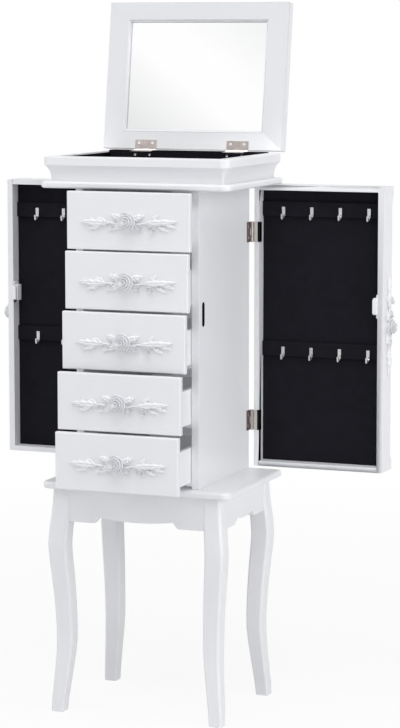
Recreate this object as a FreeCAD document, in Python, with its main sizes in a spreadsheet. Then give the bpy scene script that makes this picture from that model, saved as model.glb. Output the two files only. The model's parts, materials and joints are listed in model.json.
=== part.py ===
import FreeCAD, Part
import math
import os
import Sketcher
from types import SimpleNamespace
from FreeCAD import Placement, Rotation, Vector

# Jewelry cabinet on cabriole legs: five drawers, two side doors, a mirror lid.
# Millimetres. Origin on the floor in the middle of the feet, front to -Y, up is +Z.
# The lid, doors and drawers stand open as they are shown for sale.

# Driving dimensions
SIZES = {
    # base board and cornice board share one plan
    "board_width": 312, "board_depth": 239, "corner_radius": 14,
    # legs and aprons
    "leg_height": 355, "leg_side": 31, "leg_sweep": 10, "leg_edge": 4,
    "foot_inset_side": 23.5, "foot_inset_front": 14, "apron_thickness": 12, "apron_setback": 0.6,
    "apron_height": 51, "apron_end_slope": 0.6, "apron_end_gap": 0.2, "apron_rise": 9.5, "apron_drop": 4.5,
    "bracket_length": 41, "bracket_slope": 8,
    "corner_block_leg": 38, "corner_block_height": 30, "corner_gap": 0.6,
    # base board
    "base_thickness": 11, "base_round": 4.5, "base_bevel": 2,
    # carcass
    "carcass_width": 202.8, "carcass_height": 456, "carcass_front_setback": 16.5,
    "carcass_back_setback": 1.5, "side_thickness": 12, "back_thickness": 5,
    # cornice
    "cornice_thickness": 10, "cornice_round": 3.5, "cornice_bevel": 2, "crown_height": 38, "crown_inset": 3.6,
    "crown_fillet": 13, "cove_depth": 10.4, "cove_foot": 5, "cove_bulge": 2.8, "rim_width": 19.7, "rim_back": 18,
    "rim_bevel": 1.5, "felt": 1, "felt_margin": 2,
    # drawers
    "drawer_gap": 2.5, "front_thickness": 10, "front_bevel": 1.2, "front_side_gap": 0.9,
    "shut_gap": 0.5, "box_length": 205, "box_height": 54, "box_lift": 7.5, "box_side": 8,
    "box_side_gap": 1.4, "box_floor": 3, "box_floor_lift": 3, "runner_width": 10, "runner_height": 6,
    "runner_gap": 0.3, "runner_setback": 3,
    "pull_1": 25, "pull_2": 33, "pull_3": 45, "pull_4": 64, "pull_5": 74,
    # side doors
    "door_length": 215, "door_foot_gap": 3.5, "door_head_gap": 2.8, "door_gap": 1.5,
    "tray_depth": 22, "frame_bar": 8, "frame_front_bar": 9.5, "panel_thickness": 22,
    "panel_flare": 7, "flare_height": 24, "flare_land": 9, "panel_bevel": 1.5, "door_open_angle": 90,
    # door hooks
    "hook_bar_height": 24, "hook_bar_thickness": 5, "hook_row_top": 38, "hook_row_middle": 261,
    "left_row_top": 50, "left_row_middle": 254, "left_hook_first": 26,
    "hook_first": 44, "hook_pitch": 47.2, "hook_strip": 2.2, "hook_stem": 16, "hook_bend": 2.5,
    "hook_tip": 3, "hook_plate": 3.2, "hook_plate_height": 10, "hook_plate_thickness": 1.2,
    # door catch and its strike
    "catch_width": 8, "catch_height": 26, "catch_flange": 2.5, "catch_flange_height": 37, "catch_nose": 5,
    "catch_nose_height": 22, "catch_nose_width": 6, "catch_drop": 189, "catch_depth": 14,
    "strike_clearance": 2.5, "strike_depth": 9, "strike_plate": 1.5,
    # hinges
    "door_hinge_height": 32, "door_hinge_drop": 74.5, "door_hinge_rise": 74, "door_leaf": 12,
    "door_leaf_rim": 8, "door_leaf_wrap": 10, "leaf_thickness": 1.2, "mortise_clearance": 0.2,
    "barrel_radius": 2.5, "barrel_offset": 3.1, "barrel_setback": 4.1, "pin_radius": 1.2,
    "pin_clearance": 0.05, "knuckle_gap": 0.4, "pin_head": 0.8,
    "lid_hinge_width": 37, "lid_hinge_offset": 78.5, "lid_leaf": 14, "lid_leaf_thickness": 0.8,
    "lid_barrel_radius": 2.2, "barrel_clearance": 0.4,
    # lid
    "lid_gap": 2, "lid_frame_thickness": 13, "lid_panel_thickness": 9, "lid_stile": 36, "lid_rail": 31,
    "lid_bevel": 3, "lid_edge_bevel": 1.2, "mirror_thickness": 3, "lid_barrel_offset": 2.8, "lid_open_angle": 98.5,
    # carved rose sprays, the pulls of the drawers and doors
    "carving_length": 150, "carving_height": 36, "carving_relief": 4, "rose_radius": 12.5,
    "rose_relief": 16, "edge_carving_rise": 5,
    # every cut runs past the faces that it opens by this much
    "overrun": 2,
}
DRAWER_COUNT = 5
HOOK_COUNT = 4

# Leg from foot to top as shares: height, outward shift, side
LEG_SHARES = (
    (0.0, 0.0, 0.68), (0.056, -0.12, 0.71), (0.17, -0.54, 0.77), (0.313, -0.95, 0.86), (0.456, -0.86, 0.9),
    (0.597, -0.56, 0.955), (0.744, -0.18, 1.0), (0.82, -0.34, 0.99), (0.9, -0.62, 0.96), (1.0, -0.78, 0.92),
)
LEG_SPANS = 16
# Leaf tips and notches on the upper edge of a carved spray, as shares of its half length and half height
SPRAY_SHARES = (
    (0.08, 0.8), (0.2, 1.0), (0.28, 0.62), (0.42, 0.74), (0.5, 0.4), (0.66, 0.5), (0.76, 0.2), (1.0, 0.0),
)
# The rose's rings of petals from the outer one in, as shares of its radius and relief
ROSE_SHARES = ((1.0, 0.5), (0.74, 0.78), (0.42, 1.0))
PETAL_COUNT = 5
PETAL_WAVE_SHARE = 0.07
PETAL_CORNERS = 4
# The bend of a hook from stem to tip, as shares of its width and drop
BEND_SHARES = ((0.25, 0.8), (0.5, 1.0), (0.75, 0.8))
# Two places closer together than this count as one
SAME_PLACE = 1e-6


# A length with its value and the sheet expression that it comes from
class Size:
    def __init__(self, text, value):
        self.text = text
        self.value = float(value)

    def __float__(self):
        return self.value

    def __str__(self):
        return self.text

    def __add__(self, other):
        return Size(f"({self} + {other})", float(self) + float(other))

    def __radd__(self, other):
        return Size(f"({other} + {self})", float(other) + float(self))

    def __sub__(self, other):
        return Size(f"({self} - {other})", float(self) - float(other))

    def __rsub__(self, other):
        return Size(f"({other} - {self})", float(other) - float(self))

    def __mul__(self, other):
        return Size(f"({self} * {other})", float(self) * float(other))

    __rmul__ = __mul__

    def __truediv__(self, other):
        return Size(f"({self} / {other})", float(self) / float(other))

    def __neg__(self):
        return Size(f"(-1 * {self})", -float(self))


doc = FreeCAD.newDocument("jewelry_cabinet")
sheet = doc.addObject("Spreadsheet::Sheet", "sizes")
for row, (alias, number) in enumerate(SIZES.items(), 1):
    sheet.set(f"A{row}", alias)
    sheet.set(f"B{row}", str(number))
    sheet.setAlias(f"B{row}", alias)
doc.recompute()
s = SimpleNamespace(**{alias: Size("sizes." + alias, number) for alias, number in SIZES.items()})

# Levels and faces that several pieces share
half_width = s.board_width / 2
half_depth = s.board_depth / 2
base_top = s.leg_height + s.base_thickness
carcass_top = base_top + s.carcass_height
cornice_top = carcass_top + s.cornice_thickness
rim_top = cornice_top + s.crown_height
carcass_half = s.carcass_width / 2
carcass_front = s.carcass_front_setback - half_depth
carcass_back = half_depth - s.carcass_back_setback
crown_half = half_width - s.crown_inset
crown_front_face = s.crown_inset - half_depth
tray_half = crown_half - s.rim_width
tray_front = crown_front_face + s.rim_width
tray_back = half_depth - s.rim_back
door_low = base_top + s.door_foot_gap
door_high = carcass_top - s.door_head_gap
door_axis_x = carcass_half + s.barrel_offset
door_axis_y = carcass_back + s.barrel_setback
front_height = (s.carcass_height - (DRAWER_COUNT + 1) * s.drawer_gap) / DRAWER_COUNT
row_pitch = front_height + s.drawer_gap

pieces = []


# Helpers

def bind(item, path, length):
    item.setExpression(path, str(length))


def keep(item, label):
    item.Label = label
    pieces.append(item)
    return item


def place(item, x=0, y=0, z=0, axis=None, angle=None):
    if axis is not None:
        item.Placement = Placement(Vector(), Rotation(axis, float(angle)))
        bind(item, "Placement.Rotation.Angle", angle)
    for name, length in (("x", x), ("y", y), ("z", z)):
        bind(item, "Placement.Base." + name, length)
    return item


def block(name, low, high):
    item = doc.addObject("Part::Box", name)
    for prop, start, end in zip(("Length", "Width", "Height"), low, high):
        bind(item, prop, end - start)
    return place(item, *low)


def cylinder(name, radius, length, x, y, z, axis=None):
    item = doc.addObject("Part::Cylinder", name)
    bind(item, "Radius", radius)
    bind(item, "Height", length)
    item.Placement = Placement(Vector(), Rotation(Vector(0, 0, 1), axis or Vector(0, 0, 1)))
    for path, place_size in (("x", x), ("y", y), ("z", z)):
        bind(item, "Placement.Base." + path, place_size)
    return item


def group(name, members):
    item = doc.addObject("Part::Compound", name)
    item.Links = members
    return item


def fuse(name, members):
    item = doc.addObject("Part::MultiFuse", name)
    item.Shapes = members
    return item


def cut(name, base, tool):
    item = doc.addObject("Part::Cut", name)
    item.Base = base
    item.Tool = tool
    return item


def mirror(name, source, normal=Vector(1, 0, 0)):
    item = doc.addObject("Part::Mirroring", name)
    item.Source = source
    item.Normal = normal
    return item


def new_body(name):
    return doc.addObject("PartDesign::Body", name)


def sketch_on(body, plane, offset=None):
    sketch = body.newObject("Sketcher::SketchObject", body.Name + "_sketch")
    support = [part for part in body.Origin.OriginFeatures if part.Role == plane][0]
    sketch.AttachmentSupport = [(support, "")]
    sketch.MapMode = "FlatFace"
    if offset is not None:
        bind(sketch, "AttachmentOffset.Base.z", offset)
    return sketch


# Draws points joined by lines; a third value on a point is the bulge of the arc that leads to it
def draw(sketch, points, closed=True):
    spots = [Vector(float(point[0]), float(point[1]), 0) for point in points]
    count = len(points)
    edges = count if closed else count - 1
    for index in range(edges):
        start, end = spots[index], spots[(index + 1) % count]
        leads_to = points[(index + 1) % count]
        if len(leads_to) == 3:
            chord = end - start
            side = Vector(chord.y, -chord.x, 0).normalize()
            middle = (start + end) * 0.5 + side * float(leads_to[2])
            sketch.addGeometry(Part.Arc(start, middle, end))
        else:
            sketch.addGeometry(Part.LineSegment(start, end))
    # an arc that was given clockwise is stored the other way round, so ends are matched by place
    def end_at(index, spot):
        return 1 if (sketch.getPoint(index, 1) - spot).Length < (sketch.getPoint(index, 2) - spot).Length else 2
    for index in range(count):
        edge = min(index, edges - 1)
        spot_at = end_at(edge, spots[index])
        for kind, length in (("DistanceX", points[index][0]), ("DistanceY", points[index][1])):
            number = sketch.addConstraint(Sketcher.Constraint(kind, -1, 1, edge, spot_at, float(length)))
            if isinstance(length, Size):
                bind(sketch, f"Constraints[{number}]", length)
    for index in range(edges if closed else edges - 1):
        after = (index + 1) % edges
        spot = spots[(index + 1) % count]
        sketch.addConstraint(
            Sketcher.Constraint("Coincident", index, end_at(index, spot), after, end_at(after, spot)))
    for index in range(edges):
        leads_to = points[(index + 1) % count]
        if len(leads_to) == 3:
            across = leads_to[0] - points[index][0]
            along = leads_to[1] - points[index][1]
            bulge = leads_to[2] if float(leads_to[2]) > 0 else -leads_to[2]
            radius = ((across * across + along * along) / 4 + bulge * bulge) / (2 * bulge)
            if abs(float(radius) - float(bulge)) < SAME_PLACE:
                # a half turn between level ends has its centre level with them
                sketch.addConstraint(Sketcher.Constraint("Horizontal", index, 3, index, 1))
                continue
            number = sketch.addConstraint(Sketcher.Constraint("Radius", index, float(radius)))
            bind(sketch, f"Constraints[{number}]", radius)
    return sketch


def pad(body, sketch, length, back=False):
    feature = body.newObject("PartDesign::Pad", body.Name + "_pad")
    feature.Profile = sketch
    bind(feature, "Length", length)
    feature.Reversed = back
    return feature


def edges_of(feature, test):
    doc.recompute()
    return (feature, [f"Edge{number}" for number, edge in enumerate(feature.Shape.Edges, 1) if test(edge)])


def soften(body, feature, radius, test):
    fillet = body.newObject("PartDesign::Fillet", body.Name + "_round")
    fillet.Base = edges_of(feature, test)
    bind(fillet, "Radius", radius)
    return fillet


def bevel(body, feature, size, test):
    chamfer = body.newObject("PartDesign::Chamfer", body.Name + "_bevel")
    chamfer.Base = edges_of(feature, test)
    bind(chamfer, "Size", size)
    return chamfer


def level(edge, height):
    box = edge.BoundBox
    return abs(box.ZMin - float(height)) < SAME_PLACE and abs(box.ZMax - float(height)) < SAME_PLACE


# Sagitta of a quarter turn is this share of its radius
QUARTER_BULGE_SHARE = 1 - 0.5 ** 0.5


# A board's plan: square at the back, rounded at the two front corners
def board_plan(half_x, front, back, radius):
    bulge = radius * QUARTER_BULGE_SHARE
    return [
        (half_x, back), (-half_x, back), (-half_x, front + radius),
        (radius - half_x, front, bulge), (half_x - radius, front), (half_x, front + radius, bulge),
    ]


# Legs: one body lofted through squares with bevelled corners, mirrored to the other corners

def leg_section(body, share, shift_share, side_share):
    sketch = sketch_on(body, "XY_Plane", s.leg_height * share)
    half = s.leg_side * side_share / 2
    shift = s.leg_sweep * shift_share
    centre_x = half_width - s.foot_inset_side + shift
    centre_y = -(half_depth - s.foot_inset_front + shift)
    left, right = centre_x - half, centre_x + half
    low, high = centre_y - half, centre_y + half
    edge = s.leg_edge * side_share
    return draw(sketch, [
        (left, low + edge), (left + edge, low), (right - edge, low), (right, low + edge),
        (right, high - edge), (right - edge, high), (left + edge, high), (left, high - edge),
    ])


# Shift and side at a height, on a curve that passes smoothly through the rows of the table
def leg_shares_at(height):
    rows = LEG_SHARES
    index = max(number for number, row in enumerate(rows[:-1]) if row[0] <= height)
    before, start, end, after = (rows[max(0, min(len(rows) - 1, index + step))] for step in (-1, 0, 1, 2))
    span = end[0] - start[0]
    part = (height - start[0]) / span
    values = []
    for column in (1, 2):
        leave = (end[column] - before[column]) / (end[0] - before[0]) * span
        arrive = (after[column] - start[column]) / (after[0] - start[0]) * span
        rise = end[column] - start[column]
        values.append(start[column] + part * (leave + part * (
            3 * rise - 2 * leave - arrive + part * (leave + arrive - 2 * rise))))
    return values


leg = new_body("leg_front_right")
heights = [number / LEG_SPANS for number in range(LEG_SPANS + 1)]
sections = [leg_section(leg, height, *leg_shares_at(height)) for height in heights]
leg_loft = leg.newObject("PartDesign::AdditiveLoft", "leg_loft")
leg_loft.Profile = sections[0]
leg_loft.Sections = sections[1:]
leg_loft.Ruled = True
keep(leg, "leg_front_right")
keep(mirror("leg_mirror_front", leg), "leg_front_left")
leg_behind = keep(mirror("leg_mirror_side", leg, Vector(0, 1, 0)), "leg_rear_right")
keep(mirror("leg_mirror_back", leg_behind), "leg_rear_left")

# Aprons between the legs, with brackets at the ends and a bow in the middle
top_shift = s.leg_sweep * LEG_SHARES[-1][1]
top_half = s.leg_side * LEG_SHARES[-1][2] / 2
leg_top_x = half_width - s.foot_inset_side + top_shift
leg_top_y = half_depth - s.foot_inset_front + top_shift


def apron_outline(half_length):
    low = s.leg_height - s.apron_height
    peak = low + s.apron_rise
    bracket = half_length - s.bracket_length
    shoulder = bracket - s.bracket_slope
    return [
        (-half_length, s.leg_height), (-half_length - s.apron_end_slope, low), (-bracket, low), (-shoulder, peak),
        (shoulder, peak, s.apron_drop), (bracket, low), (half_length + s.apron_end_slope, low),
        (half_length, s.leg_height),
    ]


apron = new_body("apron_front")
apron_face = leg_top_y + top_half - s.apron_setback
pad(apron, draw(sketch_on(apron, "XZ_Plane", apron_face - s.apron_thickness),
                apron_outline(leg_top_x - top_half - s.apron_end_gap)), s.apron_thickness)
keep(apron, "apron_front")
keep(mirror("apron_mirror_back", apron, Vector(0, 1, 0)), "apron_rear")
apron_side = new_body("apron_right")
apron_side_face = leg_top_x + top_half - s.apron_setback
pad(apron_side, draw(sketch_on(apron_side, "YZ_Plane", apron_side_face - s.apron_thickness),
                     apron_outline(leg_top_y - top_half - s.apron_end_gap)), s.apron_thickness)
keep(apron_side, "apron_right")
keep(mirror("apron_mirror_side", apron_side), "apron_left")

# Glue blocks in the corners: each lies on two aprons and is notched around the top of its leg
corner = new_body("corner_block")
leg_inner_x = leg_top_x - top_half
leg_inner_y = top_half - leg_top_y
apron_inner_x = apron_side_face - s.apron_thickness
apron_inner_y = s.apron_thickness - apron_face
pad(corner, draw(sketch_on(corner, "XY_Plane", s.leg_height - s.corner_block_height), [
    (leg_inner_x - s.corner_gap, apron_inner_y), (leg_inner_x - s.corner_gap, leg_inner_y + s.corner_gap),
    (apron_inner_x, leg_inner_y + s.corner_gap), (apron_inner_x, leg_inner_y + s.corner_block_leg),
    (leg_inner_x - s.corner_block_leg, apron_inner_y),
]), s.corner_block_height)
corner_left = mirror("corner_left", corner)
corner_pair = group("corner_pair", [corner, corner_left])
corner_pair_behind = mirror("corner_pair_behind", corner_pair, Vector(0, 1, 0))
keep(group("corner_blocks", [corner_pair, corner_pair_behind]), "corner_blocks")

# Base board
base = new_body("base_board")
base_pad = pad(base, draw(sketch_on(base, "XY_Plane", s.leg_height),
                          board_plan(half_width, -half_depth, half_depth, s.corner_radius)), s.base_thickness)


def rim_edge(edge, height):
    return level(edge, height) and edge.BoundBox.YMin < float(half_depth) - SAME_PLACE


base_rounded = soften(base, base_pad, s.base_round, lambda edge: rim_edge(edge, base_top))
bevel(base, base_rounded, s.base_bevel, lambda edge: rim_edge(edge, s.leg_height))
keep(base, "base_board")

# Carcass: two sides with a strike slot, and a back between them
catch_middle = carcass_top - s.catch_drop
catch_y = door_axis_y - s.barrel_setback - s.door_length + s.frame_front_bar + s.catch_width / 2
slot_half = s.catch_nose_width / 2 + s.strike_clearance
slot_end = s.catch_nose_height / 2 + s.strike_clearance
side = new_body("side_panel_right")
side_pad = pad(side, draw(sketch_on(side, "YZ_Plane", carcass_half - s.side_thickness), [
    (carcass_front, base_top), (carcass_back, base_top), (carcass_back, carcass_top), (carcass_front, carcass_top),
]), s.side_thickness)
slot = side.newObject("PartDesign::Pocket", "strike_slot")
slot.Profile = draw(sketch_on(side, "YZ_Plane", carcass_half), [
    (catch_y + slot_half, catch_middle - slot_end, slot_half), (catch_y + slot_half, catch_middle + slot_end),
    (catch_y - slot_half, catch_middle + slot_end, slot_half), (catch_y - slot_half, catch_middle - slot_end),
])
bind(slot, "Length", s.strike_depth)
keep(side, "side_panel_right")
keep(mirror("side_mirror", side), "side_panel_left")
keep(block("back_panel", (s.side_thickness - carcass_half, carcass_back - s.back_thickness, base_top),
           (carcass_half - s.side_thickness, carcass_back, carcass_top)), "back_panel")

# Strike plates at the bottom of the slots
strike_floor = carcass_half - s.strike_depth
strike = block("strike_right", (strike_floor, catch_y - slot_half, catch_middle - slot_end),
               (strike_floor + s.strike_plate, catch_y + slot_half, catch_middle + slot_end))
keep(group("strike_plates", [strike, mirror("strike_left", strike)]), "strike_plates")


# Drawers: runners on the sides, then one master drawer that is set into each row

def front_bottom(row):
    return carcass_top - s.drawer_gap - front_height - row * row_pitch


inner_half = carcass_half - s.side_thickness
runners = []
for row in range(DRAWER_COUNT):
    runner_top = front_bottom(row) + s.box_lift - s.runner_gap
    runner = block(f"runner_{row + 1}", (inner_half - s.runner_width, carcass_front + s.runner_setback,
                                         runner_top - s.runner_height),
                   (inner_half, carcass_back - s.back_thickness, runner_top))
    runners += [runner, mirror(f"runner_left_{row + 1}", runner)]
keep(group("drawer_runners", runners), "drawer_runners")

front_half = carcass_half - s.front_side_gap
front_back = carcass_front - s.shut_gap
front_face = front_back - s.front_thickness
drawer_front = new_body("drawer_front")
drawer_front_pad = pad(drawer_front, draw(sketch_on(drawer_front, "XZ_Plane", -front_back), [
    (-front_half, 0), (front_half, 0), (front_half, front_height), (-front_half, front_height),
]), s.front_thickness)
bevel(drawer_front, drawer_front_pad, s.front_bevel,
      lambda edge: edge.BoundBox.YMax < float(front_face) + SAME_PLACE)

box_half = inner_half - s.box_side_gap
box_top = s.box_lift + s.box_height
box_end = front_back + s.box_length
box_inner = box_half - s.box_side
box_right = block("box_right", (box_inner, front_back, s.box_lift), (box_half, box_end, box_top))
box_left = mirror("box_left", box_right)
box_back = block("box_back", (-box_inner, box_end - s.box_side, s.box_lift), (box_inner, box_end, box_top))
box_floor = block("box_floor", (-box_inner, front_back, s.box_lift + s.box_floor_lift),
                  (box_inner, box_end - s.box_side, s.box_lift + s.box_floor_lift + s.box_floor))
drawer_box = [box_right, box_left, box_back, box_floor]

# Carved rose with a leaf spray on each side, lying on the plane y = 0 and rising to -Y
carving = new_body("carving")
spray_half = s.carving_length / 2
spray_rise = s.carving_height / 2
upper_right = [(spray_half * along, spray_rise * up) for along, up in SPRAY_SHARES]
lower_right = [(x, -z) for x, z in upper_right[:-1]]
lower_left = [(-x, z) for x, z in lower_right]
upper_left = [(-x, z) for x, z in upper_right]
spray = lower_right + upper_right[::-1] + upper_left + lower_left[::-1]
pad(carving, draw(sketch_on(carving, "XZ_Plane"), spray), s.carving_relief)


# Outline of one ring: the edge swells out at each petal, and every other ring is turned by half a petal
def petal_ring(radius, turned):
    points = []
    for number in range(PETAL_COUNT * PETAL_CORNERS):
        wave = 2 * math.pi * number / PETAL_CORNERS + (math.pi if turned else 0)
        reach = 1 - PETAL_WAVE_SHARE * (1 - math.cos(wave))
        angle = 2 * math.pi * number / (PETAL_COUNT * PETAL_CORNERS)
        points.append((radius * (reach * math.cos(angle)), radius * (reach * math.sin(angle))))
    return points


for ring, (radius_share, relief_share) in enumerate(ROSE_SHARES):
    pad(carving, draw(sketch_on(carving, "XZ_Plane"), petal_ring(s.rose_radius * radius_share, ring % 2 == 1)),
        s.rose_relief * relief_share)

for row in range(DRAWER_COUNT):
    number = row + 1
    pull = getattr(s, f"pull_{number}")
    low = front_bottom(row)
    for kind, members in (("front", [drawer_front]), ("box", drawer_box)):
        label = f"drawer_{number}_{kind}"
        keep(place(group(label, members), 0, -pull, low), label)
    label = f"drawer_{number}_carving"
    keep(place(group(label, [carving]), 0, front_face - pull, low + front_height / 2), label)

# Cornice board and crown moulding
cornice = new_body("cornice_board")
cornice_pad = pad(cornice, draw(sketch_on(cornice, "XY_Plane", carcass_top), board_plan(
    half_width, -half_depth, half_depth, s.corner_radius)), s.cornice_thickness)
cornice_rounded = soften(cornice, cornice_pad, s.cornice_round, lambda edge: rim_edge(edge, cornice_top))
bevel(cornice, cornice_rounded, s.cornice_bevel, lambda edge: rim_edge(edge, carcass_top))
keep(cornice, "cornice_board")

crown = new_body("crown")
crown_pad = pad(crown, draw(sketch_on(crown, "XY_Plane", cornice_top), board_plan(
    crown_half, crown_front_face, half_depth, s.corner_radius)), s.crown_height)
cove_end = half_depth + s.overrun
path = sketch_on(crown, "XY_Plane", cornice_top)
turn = s.corner_radius * QUARTER_BULGE_SHARE
draw(path, [
    (-crown_half, cove_end), (-crown_half, crown_front_face + s.corner_radius),
    (s.corner_radius - crown_half, crown_front_face, turn), (crown_half - s.corner_radius, crown_front_face),
    (crown_half, crown_front_face + s.corner_radius, turn), (crown_half, cove_end),
], closed=False)
cove_section = sketch_on(crown, "XZ_Plane", -cove_end)
draw(cove_section, [
    (-crown_half - s.overrun, cornice_top), (s.cove_depth - crown_half, cornice_top),
    (s.cove_depth - crown_half, cornice_top + s.cove_foot),
    (-crown_half, rim_top - s.crown_fillet, s.cove_bulge), (-crown_half - s.overrun, rim_top - s.crown_fillet),
])
doc.recompute()
cove = crown.newObject("PartDesign::SubtractivePipe", "cove")
cove.Profile = cove_section
cove.Spine = (path, [f"Edge{number}" for number in range(1, len(path.Shape.Edges) + 1)])
tray = crown.newObject("PartDesign::Pocket", "tray")
tray.Profile = draw(sketch_on(crown, "XY_Plane", rim_top), [
    (-tray_half, tray_front), (tray_half, tray_front), (tray_half, cove_end), (-tray_half, cove_end),
])
bind(tray, "Length", s.crown_height + s.overrun)


def outer_rim(edge):
    middle = edge.CenterOfMass
    inside = float(s.rim_bevel)
    outside = abs(middle.x) > float(tray_half) + inside or middle.y < float(tray_front) - inside
    return level(edge, rim_top) and outside and edge.BoundBox.YMin < float(half_depth) - SAME_PLACE


bevel(crown, tray, s.rim_bevel, outer_rim)


def mitre(name, outline):
    wedge = new_body(name + "_wedge")
    pad(wedge, draw(sketch_on(wedge, "XY_Plane", cornice_top - s.overrun), outline),
        s.crown_height + 2 * s.overrun)
    item = doc.addObject("Part::Common", name)
    item.Base = crown
    item.Tool = wedge
    return keep(item, name)


far_x = crown_half + s.overrun
far_y = crown_front_face - s.overrun
mitre("crown_front", [(-far_x, far_y), (far_x, far_y), (tray_half, tray_front), (-tray_half, tray_front)])
crown_right = mitre("crown_right", [
    (far_x, far_y), (far_x, cove_end), (tray_half, cove_end), (tray_half, tray_front)])
keep(mirror("crown_mirror", crown_right), "crown_left")
keep(block("crown_back", (-tray_half, tray_back, cornice_top), (tray_half, half_depth, rim_top)), "crown_back")

# Felt of the top tray: a floor and four walls
floor_top = cornice_top + s.felt
felt_top = rim_top - s.felt_margin
wall_right = block("felt_right", (tray_half - s.felt, tray_front, floor_top), (tray_half, tray_back, felt_top))
wall_front = block("felt_front", (s.felt - tray_half, tray_front, floor_top),
                   (tray_half - s.felt, tray_front + s.felt, felt_top))
wall_back = block("felt_back", (s.felt - tray_half, tray_back - s.felt, floor_top),
                  (tray_half - s.felt, tray_back, felt_top))
felt_floor = block("felt_floor", (-tray_half, tray_front, cornice_top), (tray_half, tray_back, floor_top))
keep(group("tray_lining", [felt_floor, wall_right, mirror("felt_left", wall_right), wall_front, wall_back]),
     "tray_lining")


# Hinge leaves: a plate, knuckles around the axis and a tab from the plate to each knuckle.
# Places are given as (along the axis, off the plate, away from the axis).

def along_z(along, off, away):
    return (off, away, along)


def along_x(along, off, away):
    return (along, away, off)


def hinge_leaf(name, order, radius, spans, plate_low, plate_high, bore):
    axis = Vector(*order(1, 0, 0))
    solids = [block(name + "_plate", order(*plate_low), order(*plate_high))]
    for number, (start, end) in enumerate(spans):
        solids.append(cylinder(f"{name}_knuckle_{number}", radius, end - start, *order(start, 0, 0), axis))
        solids.append(block(f"{name}_tab_{number}", order(start, plate_low[1], plate_high[2]),
                            order(end, plate_high[1], 0)))
    first, last = spans[0][0], spans[-1][1]
    hole = cylinder(name + "_bore", bore, last - first + 2 * s.overrun, *order(first - s.overrun, 0, 0), axis)
    return cut(name, fuse(name + "_blank", solids), hole)


# The knuckles of a hinge of this length: two fixed ones at the ends, a moving one between them
def knuckles(middle, length):
    third = length / 3
    fixed = [(middle - length / 2, middle - third / 2), (middle + third / 2, middle + length / 2)]
    moving = [(middle - third / 2 + s.knuckle_gap, middle + third / 2 - s.knuckle_gap)]
    return fixed, moving


def hinge_pin(name, order, middle, length):
    axis = Vector(*order(1, 0, 0))
    reach = length / 2 + s.pin_head
    return cylinder(name, s.pin_radius, 2 * reach, *order(middle - reach, 0, 0), axis)


moving_bore = s.pin_radius + s.pin_clearance

# Door hinges, in the door's own frame: shut, with the hinge axis on z
door_reach = s.barrel_radius + s.barrel_clearance
rim_x = s.door_gap - s.barrel_offset
door_rear = -s.barrel_setback
door_front = door_rear - s.door_length
hinge_middles = (door_low + s.door_hinge_rise, door_high - s.door_hinge_drop)
wrap_away = door_rear - s.door_leaf_rim - s.leaf_thickness
fixed_leaves, moving_leaves, pins = [], [], []
for place_name, middle in zip(("low", "high"), hinge_middles):
    low, high = middle - s.door_hinge_height / 2, middle + s.door_hinge_height / 2
    fixed, moving = knuckles(middle, s.door_hinge_height)
    fixed_leaves.append(hinge_leaf(
        "door_fixed_" + place_name, along_z, s.barrel_radius, fixed,
        (low, -s.barrel_offset, door_rear - s.door_leaf),
        (high, s.leaf_thickness - s.barrel_offset, -door_reach), s.pin_radius))
    leaf = hinge_leaf(
        "door_moving_" + place_name, along_z, s.barrel_radius, moving,
        (low, rim_x, wrap_away), (high, rim_x + s.leaf_thickness, -door_reach), moving_bore)
    wrap = block("door_wrap_" + place_name, (rim_x, wrap_away, low),
                 (rim_x + s.door_leaf_wrap, wrap_away + s.leaf_thickness, high))
    moving_leaves.append(fuse("door_leaf_" + place_name, [leaf, wrap]))
    pins.append(hinge_pin("door_pin_" + place_name, along_z, middle, s.door_hinge_height))

fixed_right = place(group("door_hinge_right", fixed_leaves), door_axis_x, door_axis_y)
keep(group("door_hinge_fixed", [fixed_right, mirror("door_hinge_left", fixed_right)]), "door_hinge_fixed")
pins_right = place(group("door_pins_right", pins), door_axis_x, door_axis_y)
pins_left = mirror("door_pins_left", pins_right)


# Doors, built shut in the door's own frame, then swung open; the left one mirrors the right one,
# or the piece that is given for it

def swung_open(name, item):
    return place(group(name, [item]), door_axis_x, door_axis_y, 0, Vector(0, 0, 1), s.door_open_angle)


def door_piece(kind, item, left_item=None):
    right = keep(swung_open("door_right_" + kind, item), "door_right_" + kind)
    source = right if left_item is None else swung_open(f"door_{kind}_to_mirror", left_item)
    keep(mirror("door_left_" + kind, source), "door_left_" + kind)


tray_x = rim_x + s.tray_depth
stile_rear = door_rear - s.frame_bar
stile_front = door_front + s.frame_front_bar
rail_low = door_low + s.frame_bar
rail_high = door_high - s.frame_bar
rear_bar = block("door_rear_bar", (rim_x, stile_rear, door_low), (tray_x, door_rear, door_high))
mortises = []
for place_name, middle in zip(("low", "high"), hinge_middles):
    reach = s.door_hinge_height / 2 + s.mortise_clearance
    mortises.append(block("mortise_" + place_name, (rim_x - s.overrun, stile_rear - s.overrun, middle - reach),
                          (rim_x + s.leaf_thickness, door_rear + s.overrun, middle + reach)))
door_piece("frame", group("door_bars", [
    cut("door_rear_stile", rear_bar, fuse("mortises", mortises)),
    block("door_front_bar", (rim_x, door_front, door_low), (tray_x, stile_front, door_high)),
    block("door_low_bar", (rim_x, stile_front, door_low), (tray_x, stile_rear, rail_low)),
    block("door_high_bar", (rim_x, stile_front, rail_high), (tray_x, stile_rear, door_high)),
]))

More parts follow.
